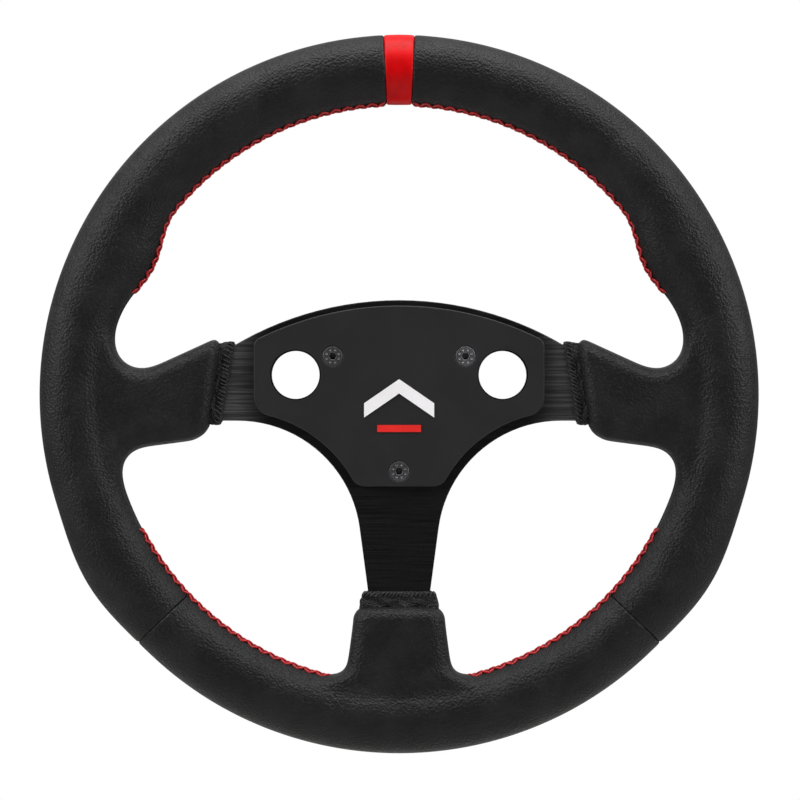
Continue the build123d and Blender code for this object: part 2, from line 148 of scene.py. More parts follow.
# ---------------------------------------------------------------------------------------------------
# The hides: black grained cowhide, 1.2 mm thick, wrapped wet round the foam rim and its spoke roots.
# Two upper hides and a lower one butt at seams, and their long edges meet along the rim's inside.
# ---------------------------------------------------------------------------------------------------
RIM_OUTER_R, RIM_INNER_R = 165.0, 132.8
RIM_HALF_DEPTH = 13.5
HIDE_THICK = 1.2
SEAM_ANGLE = 133.5
BAND_ANGLE = 2.45                             # half of the centre marker's width
EDGE_TURN = 172.0                             # where round the section the hides' long edges meet
ARM_SKIN = 2.6                                # half of the metal arm's thickness, with glue
HEM_RISE = 1.3                                # how far the hide stands off the arm at a root's end
CORNER_CUT = 0.293                            # share of a corner's radius cut off halfway round it
# each swell's height, then the angle of its middle and its half width, from twelve o'clock
THUMB_REST, THUMB_HOLLOW = (5.9, 62.8, 12.5), (0.5, 78, 6)
PALM_SWELL, FOOT_FLAT = (2.3, 121.5, 14), (0.4, 180, 45)
GRAIN_ALONG, GRAIN_ROUND = 2.6, 0.26          # millimetres of leather to a degree of angle and of turn


def swell(angle, height, centre, half_width):
    """A squared cosine, full height at its centre angle and nought beyond its half width."""
    t = np.clip((angle - centre) / half_width, -1, 1)
    return height * np.cos(t * np.pi / 2) ** 2


def rim_radii(angle):
    """The rim's inner and outer radius at an angle from twelve o'clock, with thumb rests and palm swells."""
    side = 180 - np.abs(180 - np.mod(angle, 360))
    inner = RIM_INNER_R - swell(side, *THUMB_REST) + swell(side, *THUMB_HOLLOW)
    outer = RIM_OUTER_R + swell(side, *PALM_SWELL) - swell(side, *FOOT_FLAT)
    return inner, outer


def rim_point(angle, turn, lift=0.0):
    """A point of the rim's skin. The section is an ellipse: turn 0 is outermost, 90 is the front, 180 is
    innermost. Lift moves it off the skin."""
    inner, outer = rim_radii(angle)
    middle, half = (outer + inner) / 2, (outer - inner) / 2
    a, t = np.radians(angle), np.radians(turn)
    radius = middle + (half + lift) * np.cos(t)
    depth = -(RIM_HALF_DEPTH + lift) * np.sin(t)
    return np.stack(np.broadcast_arrays(radius * np.sin(a), RIM_Y + depth, radius * np.cos(a)), -1)


def arc(centre, radius, start, end, count=12):
    """Points of a round arc in the wheel's plane, (x, z), between two angles in degrees."""
    a = np.radians(np.linspace(start, end, count))
    return np.stack([centre[0] + radius * np.cos(a), centre[1] + radius * np.sin(a)], -1)


def along(path, stations):
    """The points of a path at shares of its length."""
    steps = np.hypot(*np.diff(path, axis=0).T)
    reach = np.concatenate([[0], np.cumsum(steps)]) / steps.sum()
    return np.stack([np.interp(stations, reach, path[:, k]) for k in (0, 1)], -1)


def root_loops(first, second, end_first, end_second, around, across, half_depth, stations):
    """Rings of points along a padded spoke root. Each ring is a rounded rectangle between two edge
    lines. Around runs from one edge (-1) to the other (1), and across from the front (-1) to the back."""
    sides = []
    for path, wall in ((first, end_first), (second, end_second)):
        inward = (along(path, [1.0]) - along(path, [0.93]))[0]
        inward /= np.hypot(*inward)
        step = np.array(wall) - path[-1]
        onward = inward * (step @ inward)
        shoulder = path[-1] + 0.62 * onward + 0.3 * (step - onward)
        sides.append(np.concatenate([along(path, stations), [shoulder], [wall]])[:, None])
    a, b = sides
    hem_depth = ARM_SKIN + HEM_RISE
    depth = np.concatenate([half_depth, [0.7 * half_depth[-1] + 0.3 * hem_depth], [hem_depth]])[:, None]
    width = np.linalg.norm(b - a, axis=-1)
    round_r = np.minimum(6.5, depth * 0.78)
    tilt = across * np.pi / 4
    edge = np.abs(around) > 0.999
    face_inset = CORNER_CUT * round_r + (width - 2 * CORNER_CUT * round_r) * (1 - np.abs(around)) / 2
    inset = np.where(edge, round_r * (1 - np.cos(tilt)), face_inset)
    side_depth = (depth - CORNER_CUT * round_r) * np.sin(tilt) / np.sin(np.pi / 4)
    reach = np.clip(round_r - inset, 0, None)
    face_depth = depth - round_r + np.sqrt(round_r ** 2 - reach ** 2)
    face_depth = face_depth * (1 + 0.05 * (1 - around ** 2)) * np.sign(across)
    y = np.where(edge, side_depth, face_depth)
    share = np.where(around < 0, inset / width, 1 - inset / width)
    spot = a + (b - a) * share[..., None]
    return np.stack([spot[..., 0], RIM_Y + y, spot[..., 1]], -1)


# the turns of a cage's rows, closest together at the hides' long edges
ROWS = np.concatenate([np.arange(0, 136, 15), [148, 158, 166, 170.2, EDGE_TURN, 173.8, 179, 190, 207],
                       np.arange(225, 346, 15)])
ROOT_ROWS = (9, 19)                           # the rows between which a spoke root leaves the rim


def flat_places(along_hide, round_rim, layer):
    """Where each point lies on the flat hide, in millimetres, for the creases to follow."""
    return np.stack(np.broadcast_arrays(along_hide, round_rim, layer), -1).reshape(-1, 3)


def rim_columns(stops, spacing=3.0):
    """Angles from stop to stop, about the spacing apart."""
    runs = [np.linspace(a, b, max(2, round((b - a) / spacing)) + 1)[:-1] for a, b in zip(stops, stops[1:])]
    return np.concatenate([*runs, [stops[-1]]])


def hide_cage(start, end, roots):
    """The points and faces of one hide: a grid of angle by turn, with a hole and rings for each root."""
    lips = np.array([0.0, 0.08, 0.4])
    stops = [start + 1.2] + [s for r in roots for s in r["span"]] + [end - 1.2]
    angles = np.concatenate([start + lips, rim_columns(stops), end - lips[::-1]])
    sink = np.zeros_like(angles)
    sink[[0, -1]], sink[[1, -2]], sink[[2, -3]] = 0.8, 0.25, 0.0
    drop = sink[:, None] + 0.7 * np.exp(-((ROWS - EDGE_TURN) / 1.6) ** 2)
    points = rim_point(angles[:, None], ROWS[None, :], -drop)
    count, rows = len(angles), len(ROWS)
    index = np.arange(count * rows).reshape(count, rows)
    i, j = np.meshgrid(np.arange(count - 1), np.arange(rows), indexing="ij")
    keep = np.ones(i.shape, bool)
    vertices, faces = [points.reshape(-1, 3)], []
    lay = [flat_places(angles[:, None] * GRAIN_ALONG, ROWS[None, :] * GRAIN_ROUND, 0 * drop)]
    top, low = ROOT_ROWS
    for root in roots:
        first, last = (int(np.argmin(np.abs(angles - s))) for s in root["span"])
        keep &= ~((i >= first) & (i < last) & (j >= top) & (j < low))
        n, m = last - first, low - top
        rim_loop = np.concatenate([index[first:last, top], index[last, top:low],
                                   index[last:first:-1, low], index[first, low:top:-1]])
        across_side = (ROWS[top:low + 1] - 180) / 45
        onward = np.linspace(-1, 1, n + 1)[:-1]
        back = np.linspace(1, -1, n + 1)[:-1]
        around = np.concatenate([onward, np.ones(m), back, -np.ones(m)])
        across = np.concatenate([-np.ones(n), across_side[:-1], np.ones(n), across_side[:0:-1]])
        rings = root_loops(around=around, across=across, **root["shape"])
        begin = sum(len(v) for v in vertices)
        ring_index = begin + np.arange(rings[..., 0].size).reshape(rings.shape[:2])
        ring_index = np.vstack([rim_loop, ring_index])
        vertices.append(rings.reshape(-1, 3))
        steps = np.arange(len(rings))[:, None] * 3.0
        lay.append(flat_places(root["lay"] + np.zeros(rings.shape[:2]), steps, 1.0))
        near, far = ring_index[:-1], ring_index[1:]
        faces.append(np.stack([near, far, np.roll(far, -1, 1), np.roll(near, -1, 1)], -1).reshape(-1, 4))
    i, j = i[keep], j[keep]
    after = (j + 1) % rows
    faces.append(np.stack([index[i, j], index[i, after], index[i + 1, after], index[i + 1, j]], -1))
    return np.concatenate(vertices), np.concatenate(faces), np.concatenate(lay)


def piece(name, made, material, replaced=(), lay=None):
    """A new mesh object on the wheel, from points in millimetres, smooth walls and flat end caps, with its
    material and the nodes it stands for."""
    points, walls, caps = made
    mesh = bpy.data.meshes.new(name)
    mesh.from_pydata((points * MM).tolist(), [], walls.tolist() + caps)
    if lay is not None:
        store = mesh.attributes.new("lay", "FLOAT_VECTOR", "POINT")
        store.data.foreach_set("vector", lay.astype(np.float32).ravel())
    mesh.polygons.foreach_set("use_smooth", np.arange(len(mesh.polygons)) < len(walls))
    mesh.materials.append(material)
    whole = bpy.data.objects.new(name, mesh)
    bpy.context.scene.collection.objects.link(whole)
    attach(whole, "wheel")
    if replaced:
        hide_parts(*replaced)
    return whole


def tube_walls(shape):
    """The point numbers of a grid whose rows go along a tube and whose columns go round it, and the
    four-sided walls between them."""
    index = np.arange(np.prod(shape)).reshape(shape)
    after = np.roll(index, -1, -1)
    walls = [index[..., :-1, :], index[..., 1:, :], after[..., 1:, :], after[..., :-1, :]]
    return index, np.stack(walls, -1).reshape(-1, 4)


def smoothed(made, levels, thickness):
    """Rounds a cage by subdivision and gives it a wall, inwards."""
    rounding = made.modifiers.new("rounding", "SUBSURF")
    rounding.levels = rounding.render_levels = levels
    wall = made.modifiers.new("wall", "SOLIDIFY")
    wall.thickness, wall.offset = thickness * MM, -1.0


def grained_leather(name, base, worn, grain_mm, depth, creases):
    """Hide coloured through with aniline dye, with a pressed pebble grain: soft, broad highlights broken up
    by the grain.
    """
    made, tree, shader = finish_material(name, Specular_IOR_Level=0.16)
    place = add(tree, "TexCoord").outputs["Object"]
    pebbles = add(tree, "TexVoronoi", {"Scale": 1 / (grain_mm * MM), "Randomness": 1.0,
                                       "feature": "SMOOTH_F1", "Smoothness": 0.55}, {"Vector": place})
    fine = add(tree, "TexNoise", {"Scale": 1 / (0.75 * MM), "Detail": 2.0}, {"Vector": place})
    patches = add(tree, "TexNoise", {"Scale": 1 / (14 * MM), "Detail": 2.0}, {"Vector": place})
    lay = add(tree, "Attribute", {"attribute_name": "lay"}).outputs["Vector"]
    strokes = add(tree, "VectorMath", {"operation": "MULTIPLY", 1: (0.75, 0.2, 0.0)}, {0: lay})
    wrinkles = add(tree, "TexNoise", {"Scale": 1.0, "Detail": 1.5, "Distortion": 0.9},
                   {"Vector": strokes.outputs[0]})
    relief = add(tree, "Math", {"operation": "MULTIPLY_ADD", 1: 1.5},
                 {0: pebbles.outputs["Distance"], 2: fine.outputs[0]})
    folds = ramp(tree, patches.outputs[0], 0.0, creases, 0.45, 0.75)
    drawn = add(tree, "Math", {"operation": "MULTIPLY"}, {0: wrinkles.outputs[0], 1: folds})
    height = add(tree, "Math", {"operation": "ADD"}, {0: relief.outputs[0], 1: drawn.outputs[0]})
    surface = add(tree, "Bump", {"Strength": depth, "Distance": 0.35 * MM}, {"Height": height.outputs[0]})
    tree.links.new(surface.outputs[0], shader.inputs["Normal"])
    shade = ramp(tree, patches.outputs[0], 0.0, 1.0, 0.35, 0.7)
    tint = add(tree, "Mix", {"data_type": "RGBA", 6: colour(base), 7: colour(worn)}, {0: shade})
    tree.links.new(tint.outputs[2], shader.inputs["Base Color"])
    gloss = ramp(tree, fine.outputs[0], 0.38, 0.52, 0.3, 0.7)
    tree.links.new(gloss, shader.inputs["Roughness"])
    return made


black_hide = grained_leather("black_grained_cowhide", "#101011", "#181819", 1.1, 0.62, 1.2)

# the padded root of the right-hand spoke, as its upper and lower edge lines, and that of the low spoke
SIDE_UPPER = np.concatenate([arc((118.0, 24.6), 13.0, 5, -113.8), [(84.9, 25.4)]])
SIDE_LOWER = np.concatenate([arc((115.5, -36.0), 12.0, -10, 81.5), [(95.5, -21.3), (92.6, -20.3)]])
LOW_RIGHT = np.concatenate([arc((29.6, -122.5), 6.0, -76, -172.8), [(21.5, -107.5), (20.9, -101.4)]])
FLIP = np.array([-1.0, 1.0])
SIDE_STATIONS = np.array([0.10, 0.22, 0.34, 0.46, 0.58, 0.70, 0.82, 0.93, 1.0])
LOW_STATIONS = np.array([0.10, 0.25, 0.40, 0.55, 0.70, 0.85, 0.95, 1.0])
SIDE_DEPTHS = np.array([8.9, 8.7, 8.6, 8.5, 8.5, 8.5, 8.5, 8.5, 8.3])
LOW_DEPTHS = np.array([8.9, 8.6, 8.5, 8.4, 8.4, 8.5, 8.5, 8.3])
right_root = {"span": (78.0, 108.0), "lay": 230.0, "shape": {
    "first": SIDE_UPPER, "second": SIDE_LOWER, "end_first": (81.4, 22.5), "end_second": (87.0, -14.6),
    "half_depth": SIDE_DEPTHS, "stations": SIDE_STATIONS}}
left_root = {"span": (252.0, 282.0), "lay": 700.0, "shape": {
    "first": SIDE_LOWER * FLIP, "second": SIDE_UPPER * FLIP, "end_first": (-87.0, -14.6),
    "end_second": (-81.4, 22.5), "half_depth": SIDE_DEPTHS, "stations": SIDE_STATIONS}}
low_root = {"span": (165.0, 195.0), "lay": 470.0, "shape": {
    "first": LOW_RIGHT, "second": LOW_RIGHT * FLIP, "end_first": (16.2, -97.0), "end_second": (-16.2, -97.0),
    "half_depth": LOW_DEPTHS, "stations": LOW_STATIONS}}

for name, start, end, roots in (("leather_upper_right", BAND_ANGLE, SEAM_ANGLE, [right_root]),
                                ("leather_lower", SEAM_ANGLE, 360 - SEAM_ANGLE, [low_root]),
                                ("leather_upper_left", 360 - SEAM_ANGLE, 360 - BAND_ANGLE, [left_root])):
    points, faces, lay = hide_cage(start, end, roots)
    replaced = (name, "rim_foam") if name == "leather_lower" else (name,)
    hide = piece(name + "_hide", (points, faces, []), black_hide, replaced, lay)
    smoothed(hide, 2, HIDE_THICK)

# ---------------------------------------------------------------------------------------------------
# The centre marker: a strip of smooth red leather glued round the rim at twelve o'clock, let in flush
# between the two upper hides, with a narrow dark gap on each side.
# ---------------------------------------------------------------------------------------------------
def smooth_leather(name, base, deep):
    """Pigment-finished smooth leather: an even colour with a soft shine and faint pores."""
    made, tree, shader = finish_material(name, Specular_IOR_Level=0.1, Coat_Weight=0.02, Coat_Roughness=0.3)
    place = add(tree, "TexCoord").outputs["Object"]
    cloud = add(tree, "TexNoise", {"Scale": 1 / (9 * MM), "Detail": 3.0}, {"Vector": place}).outputs[0]
    pores = add(tree, "TexNoise", {"Scale": 1 / (0.5 * MM), "Detail": 2.0}, {"Vector": place}).outputs[0]
    tint = add(tree, "Mix", {"data_type": "RGBA", 6: colour(deep), 7: colour(base)},
               {0: ramp(tree, cloud, 0.0, 1.0, 0.35, 0.65)})
    tree.links.new(tint.outputs[2], shader.inputs["Base Color"])
    tree.links.new(ramp(tree, pores, 0.36, 0.5, 0.3, 0.7), shader.inputs["Roughness"])
    relief = add(tree, "Bump", {"Strength": 0.12, "Distance": 0.1 * MM}, {"Height": pores})
    tree.links.new(relief.outputs[0], shader.inputs["Normal"])
    return made


red_hide = smooth_leather("smooth_red_leather", "#b00105", "#a00003")
band_lips = np.array([0.0, 0.06, 0.22, 0.7])
band_angles = np.concatenate([-BAND_ANGLE + band_lips, [0.0], BAND_ANGLE - band_lips[::-1]])
band_sink = np.array([0.9, 0.35, 0.08, 0.0, -0.1, 0.0, 0.08, 0.35, 0.9])
tuck = 0.45 * np.exp(-((ROWS - 160) / 7) ** 2) * np.cos(1.9 * (band_angles[:, None] - 0.5))
band_lift = 0.05 - band_sink[:, None] + np.clip(tuck, -0.2, 0.3)
band_points = rim_point(band_angles[:, None], ROWS[None, :], band_lift)
band_walls = tube_walls(band_points.shape[:2])[1][:, [0, 3, 2, 1]]
band = piece("marker_band_hide", (band_points.reshape(-1, 3), band_walls, []), red_hide,
             ["marker_band"])
smoothed(band, 2, 1.0)

# ---------------------------------------------------------------------------------------------------
# The rim's stitching: waxed red thread that laces the hides' long edges together along the inside of
# the rim. Two strands cross at every stitch, and each end dives into its hole in the leather.
# ---------------------------------------------------------------------------------------------------
rng = np.random.default_rng(7)
THREAD_R = 0.55
STITCH_PITCH = 5.7
STITCH_REACH = 8.5                            # degrees of turn, each side of the edge


def strands(paths, outward, radius, sides=7):
    """Round threads along many paths at once, closed at both ends. Paths is (thread, step, 3) in
    millimetres, and outward is a rough direction away from the leather at each point."""
    run = np.gradient(paths, axis=1)
    run /= np.linalg.norm(run, axis=-1, keepdims=True)
    side = np.cross(run, outward)
    side /= np.linalg.norm(side, axis=-1, keepdims=True)
    up = np.cross(side, run)
    a = np.linspace(0, 2 * np.pi, sides, endpoint=False)
    ring = np.cos(a)[:, None] * up[:, :, None] + np.sin(a)[:, None] * side[:, :, None]
    points = paths[:, :, None] + radius * ring
    index, walls = tube_walls(points.shape[:3])
    return points.reshape(-1, 3), walls, np.concatenate([index[:, 0], index[:, -1, ::-1]]).tolist()


def lacing(start, end):
    """Crossed stitches along the hides' long edges, from angle to angle. Each strand slants from one side
    of the edge to the other as it goes one pitch on, in a flat arch that dives into its holes."""
    pitch = np.degrees(STITCH_PITCH / RIM_INNER_R)
    count = int(round(abs(end - start) / pitch))
    step = (end - start) / count
    first = np.linspace(start, end, count, endpoint=False)[:, None]
    t = np.linspace(0, 1, 15)[None, :]
    arch = 1 - np.abs(2 * t - 1) ** 7
    angle = first + step * (1.1 * t - 0.05) + 0.03 * rng.uniform(-1, 1, (count, 1))
    slant = STITCH_REACH * np.cos(np.pi * t) * (1 + 0.06 * rng.uniform(-1, 1, (count, 1)))
    under = rim_point(angle, EDGE_TURN + slant, -0.8 + 1.05 * arch)
    over = rim_point(angle, EDGE_TURN - slant, -0.8 + 1.05 * arch + 0.5 * np.exp(-((t - 0.5) / 0.2) ** 2))
    paths = np.concatenate([under, over])
    away = -paths * np.array([1.0, 0.0, 1.0])
    return strands(paths, away / np.linalg.norm(away, axis=-1, keepdims=True), THREAD_R)


def waxed_thread(name, base, deep):
    """Bonded polyester thread with a wax finish: rounded plies and a low sheen."""
    made, tree, shader = finish_material(name, Roughness=0.5, Specular_IOR_Level=0.35)
    place = add(tree, "TexCoord").outputs["Object"]
    plies = add(tree, "TexNoise", {"Scale": 1 / (0.35 * MM), "Detail": 1.0}, {"Vector": place}).outputs[0]
    tint = add(tree, "Mix", {"data_type": "RGBA", 6: colour(deep), 7: colour(base)},
               {0: ramp(tree, plies, 0.0, 1.0, 0.35, 0.65)})
    tree.links.new(tint.outputs[2], shader.inputs["Base Color"])
    relief = add(tree, "Bump", {"Strength": 0.5, "Distance": 0.12 * MM}, {"Height": plies})
    tree.links.new(relief.outputs[0], shader.inputs["Normal"])
    return made


red_thread = waxed_thread("waxed_red_thread", "#b80d15", "#74050b")
for name, start, end in (("stitching_upper_right", 2.9, 69.0), ("stitching_upper_left", -2.9, -69.0),
                         ("stitching_lower_right", 117.5, 167.0), ("stitching_lower_left", -117.5, -167.0)):
    piece(name + "_thread", lacing(start, end), red_thread, [name])

# ---------------------------------------------------------------------------------------------------
# The hems: where each padded root ends, the hide goes on as a thin skirt, gathered round the metal arm
# and whipped down with black thread, so that it puckers.
# ---------------------------------------------------------------------------------------------------
waves = [(rng.uniform(0.5, 1.6), rng.uniform(0.4, 1.3), rng.uniform(0, 6.28)) for _ in range(7)]


def pucker(u, v):
    """Gathered leather: seven crossing waves, u and v in millimetres, from about -1 to 1."""
    return sum(np.sin(p * u + s) * np.sin(q * v + 2 * s) for p, q, s in waves) / 2.6


def hem_point(top, low, u, w, rise):
    """A point of a skirt round an arm. Top and low are its edge lines, each from the root to the free
    edge, w goes along them and u, from 0 to 1, goes once round the arm's rounded section."""
    a = np.stack([np.interp(w, np.linspace(0, 1, len(top)), np.array(top)[:, k]) for k in (0, 1)], -1)
    b = np.stack([np.interp(w, np.linspace(0, 1, len(low)), np.array(low)[:, k]) for k in (0, 1)], -1)
    angle = 2 * np.pi * u
    c, s = np.cos(angle), np.sin(angle)
    flat = (np.abs(c) ** 9 + np.abs(s) ** 9) ** (-1 / 9)
    width = np.linalg.norm(b - a, axis=-1)
    share = 0.5 + 0.5 * c * flat * (1 + 2 * rise / width)
    spot = a + (b - a) * share[..., None]
    return np.stack([spot[..., 0], RIM_Y - s * flat * (2.5 + rise), spot[..., 1]], -1)


def hem_skirt(top, low, length, girth):
    """The skirt as a grid of turns round the arm by steps along it, tucked in at the free edge."""
    u = np.linspace(0, 1, 180, endpoint=False)[None, :]
    w = np.linspace(0, 1, 22)[:, None]
    tuck = np.clip((w - 0.86) / 0.14, 0, 1)
    gather = 0.42 * pucker(girth * u, length * w + 0 * u)
    rise = 1.15 + gather * np.sin(np.pi * np.clip(w, 0.05, 0.95)) - 1.05 * tuck ** 2
    points = hem_point(top, low, u + 0 * w, w + 0 * u, rise)
    return points.reshape(-1, 3), tube_walls(points.shape[:2])[1], []


def hem_whipping(top, low, girth):
    """Slanted black stitches over the skirt's free edge, all round the arm."""
    count = int(girth / 1.15)
    start = ((np.arange(count) + 0.07 * rng.uniform(-1, 1, count)) / count)[:, None]
    t = np.linspace(0, 1, 9)[None, :]
    w = 0.66 + 0.02 * rng.uniform(-1, 1, (count, 1)) + 0.28 * t
    u = start + 1.1 / girth * t
    rise = 0.85 + 0.6 * np.sin(np.pi * t) ** 0.5
    paths = hem_point(top, low, u, w, rise)
    middle = paths.reshape(-1, 3).mean(0)
    away = (paths - middle) * np.array([0.15, 8.0, 0.5])
    return strands(paths, away / np.linalg.norm(away, axis=-1, keepdims=True), 0.3, 6)


hem_hide = grained_leather("gathered_black_hide", "#141415", "#1d1d1e", 0.9, 1.0, 1.0)
black_thread = waxed_thread("waxed_black_thread", "#1b1b1c", "#101011")
SIDE_TOP, SIDE_FOOT = [(88.0, 20.6), (82.0, 22.2), (75.0, 22.9)], [(92.5, -12.4), (81.0, -12.3)]
LOW_A, LOW_B = [(17.2, -99.0), (16.4, -94.0), (14.6, -90.0)], [(-17.2, -99.0), (-16.4, -94.0), (-14.6, -90.0)]
for name, top, low, length, girth in (
        ("hem_right", SIDE_TOP, SIDE_FOOT, 12.0, 84.0),
        ("hem_left", [(-x, z) for x, z in SIDE_FOOT], [(-x, z) for x, z in SIDE_TOP], 12.0, 84.0),
        ("hem_lower", LOW_A, LOW_B, 9.0, 74.0)):
    piece(name + "_skirt", hem_skirt(top, low, length, girth), hem_hide, [name])
    piece(name + "_whipping", hem_whipping(top, low, girth), black_thread)

# ---------------------------------------------------------------------------------------------------
# The spoke plate: 5 mm aluminium, laser cut, line brushed from side to side and anodised black. The
# brushing shows as long fine streaks that catch the light.
# ---------------------------------------------------------------------------------------------------
BUTTON_X, BUTTON_Z = 47.4, 9.0                # the button holes, left and right
BUTTON_LIP_R = 11.6                           # the cover plate's hole, as far as the lips show


def brushed_anodised(name, base, streak, middle, rough, depth):
    """Line-brushed, black anodised aluminium: long streaks along X, lighter where the brush cut deeper.
    Painted shade darkens the plate towards its middle, away from the side arms, and painted shade blacks the
    button holes' lips."""
    made, tree, shader = finish_material(name, Metallic=0.6, Anisotropic=0.5)
    place = add(tree, "TexCoord").outputs["Object"]
    long_way = add(tree, "Mapping", {"Scale": (1 / 30, 1 / 0.5, 1 / 0.32)}, {"Vector": place}).outputs[0]
    coarse_way = add(tree, "Mapping", {"Scale": (1 / 45, 1 / 1.6, 1 / 1.0)}, {"Vector": place}).outputs[0]
    fine = add(tree, "TexNoise", {"Scale": 1 / MM, "Detail": 3.0, "Roughness": 0.6},
               {"Vector": long_way}).outputs[0]
    coarse = add(tree, "TexNoise", {"Scale": 1 / MM, "Detail": 1.0}, {"Vector": coarse_way}).outputs[0]
    both = add(tree, "Math", {"operation": "MULTIPLY"}, {0: fine, 1: coarse}).outputs[0]
    tint = add(tree, "Mix", {"data_type": "RGBA", 6: colour(base), 7: colour(streak)},
               {0: ramp(tree, both, 0.0, 1.0, 0.15, 0.4)})
    # painted shade: within about 58 to 76 mm of the centre line the colour blends into the near-black middle
    # colour, darkening the border round the cover plate and the low arm
    across = add(tree, "SeparateXYZ", links={0: place}).outputs[0]
    aside = add(tree, "Math", {"operation": "ABSOLUTE"}, {0: across}).outputs[0]
    painted_middle_shade = add(tree, "Mix", {"data_type": "RGBA", 7: colour(middle)},
               {0: ramp(tree, aside, 0.95, 0.0, 58 * MM, 76 * MM), 6: tint.outputs[2]})
    # painted shade: the lip round each button hole is coloured near black, standing in for the shadow in the
    # gap between the plates
    flat = add(tree, "VectorMath", {"operation": "MULTIPLY", 1: (1.0, 0.0, 1.0)}, {0: place}).outputs[0]
    reach = [add(tree, "VectorMath", {"operation": "DISTANCE", 1: (side * BUTTON_X * MM, 0.0, BUTTON_Z * MM)},
                 {0: flat}).outputs["Value"] for side in (-1, 1)]
    to_hole = add(tree, "Math", {"operation": "MINIMUM"}, {0: reach[0], 1: reach[1]}).outputs[0]
    painted_hole_shade = add(tree, "Mix", {"data_type": "RGBA", 7: colour("#020202")},
                 {0: ramp(tree, to_hole, 1.0, 0.0, BUTTON_LIP_R * MM, (BUTTON_LIP_R + 0.2) * MM),
                  6: painted_middle_shade.outputs[2]})
    tree.links.new(painted_hole_shade.outputs[2], shader.inputs["Base Color"])
    tree.links.new(ramp(tree, fine, rough - 0.07, rough + 0.08, 0.35, 0.65), shader.inputs["Roughness"])
    relief = add(tree, "Bump", {"Strength": depth, "Distance": 0.06 * MM}, {"Height": both})
    tree.links.new(relief.outputs[0], shader.inputs["Normal"])
    return made


def paint_node(name, material):
    """Gives a CAD node its finished material."""
    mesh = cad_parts[name].data
    mesh.materials.clear()
    mesh.materials.append(material)


# the near-black third colour is painted shade for the plate's middle, round the cover plate and down the low
# arm
paint_node("spoke_plate", brushed_anodised("brushed_black_anodised_aluminium", "#333334", "#545354",
                                           "#080808", 0.4, 0.4))

# ---------------------------------------------------------------------------------------------------
# The cover plate: 3 mm aluminium, bead blasted fine and anodised satin black, with the printed mark.
# The blasting gives an even, soft reflection with no lines.
# ---------------------------------------------------------------------------------------------------
def fine_satin(name, base, worn, rough, grit_mm=0.25, metallic=0.5):
    """A blasted or moulded satin surface: fine grit in the relief, and faint cloudiness."""
    made, tree, shader = finish_material(name, Metallic=metallic)
    place = add(tree, "TexCoord").outputs["Object"]
    grit = add(tree, "TexNoise", {"Scale": 1 / (grit_mm * MM), "Detail": 2.0}, {"Vector": place}).outputs[0]
    cloud = add(tree, "TexNoise", {"Scale": 1 / (22 * MM), "Detail": 3.0}, {"Vector": place}).outputs[0]
    tint = add(tree, "Mix", {"data_type": "RGBA", 6: colour(base), 7: colour(worn)},
               {0: ramp(tree, cloud, 0.0, 1.0, 0.35, 0.7)})
    tree.links.new(tint.outputs[2], shader.inputs["Base Color"])
    tree.links.new(ramp(tree, grit, rough - 0.05, rough + 0.05, 0.3, 0.7), shader.inputs["Roughness"])
    relief = add(tree, "Bump", {"Strength": 0.15, "Distance": 0.05 * MM}, {"Height": grit})
    tree.links.new(relief.outputs[0], shader.inputs["Normal"])
    return made


paint_node("face_plate", fine_satin("satin_black_anodised_aluminium", "#1f1f20", "#232324", 0.5))
paint_node("emblem_chevron", fine_satin("printed_white_ink", "#d0ced0", "#d6d4d6", 0.45, 0.2, 0.0))
paint_node("emblem_bar", fine_satin("printed_red_ink", "#bd1510", "#c81a14", 0.45, 0.2, 0.0))

# ---------------------------------------------------------------------------------------------------
# The screws: M5 countersunk socket screws in black oxide, which leaves a thin oily film on the steel
# and wears grey on the edges of the socket.
# ---------------------------------------------------------------------------------------------------
SCREW_HEAD_R, SHANK_R, KEY_HALF = 4.5, 2.45, 1.5
SCREW_CIRCLE_R = 35.0
SCREW_LENGTH = 14.0
SCREW_TURNS = np.radians([60, 180, 300])      # from twelve o'clock
FACE_FRONT = -5.5                              # the cover plate's face, from the rim's middle plane


def socket_screw(x, z, front, length):
    """A countersunk screw as rings about its own axis. The head's top has a hexagon socket, eight round
    dimples round it and fine radial notches at its edge. Front is the depth of the head's face."""
    a = np.linspace(0, 2 * np.pi, 144, endpoint=False)
    hexagon = KEY_HALF / np.cos(np.mod(a, np.pi / 3) - np.pi / 6)
    top = np.linspace(KEY_HALF + 0.42, SCREW_HEAD_R - 0.3, 16)[:, None] + 0 * a
    pits = np.exp(-(((top - 2.95) / 0.34) ** 2 + (np.mod(a / (np.pi / 4), 1) - 0.5) ** 2 * 46) ** 1.5)
    notches = np.clip((top - 3.7) / 0.4, 0, 1) * (0.5 + 0.5 * np.cos(36 * a))
    radius = np.concatenate([[hexagon, hexagon, hexagon + 0.14], top,
                             [a * 0 + SCREW_HEAD_R - 0.12, a * 0 + SCREW_HEAD_R, a * 0 + SHANK_R,
                              a * 0 + SHANK_R, a * 0 + SHANK_R - 0.4]])
    sunk = SCREW_HEAD_R - SHANK_R
    depth = np.concatenate([[a * 0 + 2.0, a * 0 + 0.16, a * 0 + 0.03], 0.02 + 0.34 * pits + 0.10 * notches,
                            [a * 0 + 0.1, a * 0 + 0.28, a * 0 + sunk, a * 0 + length - 0.4, a * 0 + length]])
    points = np.stack([x + radius * np.cos(a), RIM_Y + front + depth, z + radius * np.sin(a)], -1)
    index, walls = tube_walls(points.shape[:2])
    return points.reshape(-1, 3), walls, [index[0].tolist(), index[-1, ::-1].tolist()]


black_oxide = fine_satin("black_oxide_steel", "#4c4c4e", "#646467", 0.38, 0.3, 0.8)
for k, turn in enumerate(SCREW_TURNS):
    x, z = SCREW_CIRCLE_R * np.sin(turn), SCREW_CIRCLE_R * np.cos(turn)
    screw = socket_screw(x, z, FACE_FRONT, SCREW_LENGTH)
    piece(f"face_screw_{k + 1}", screw, black_oxide, ["face_screws"] if k == 0 else [])
paint_node("hub_screws", black_oxide)

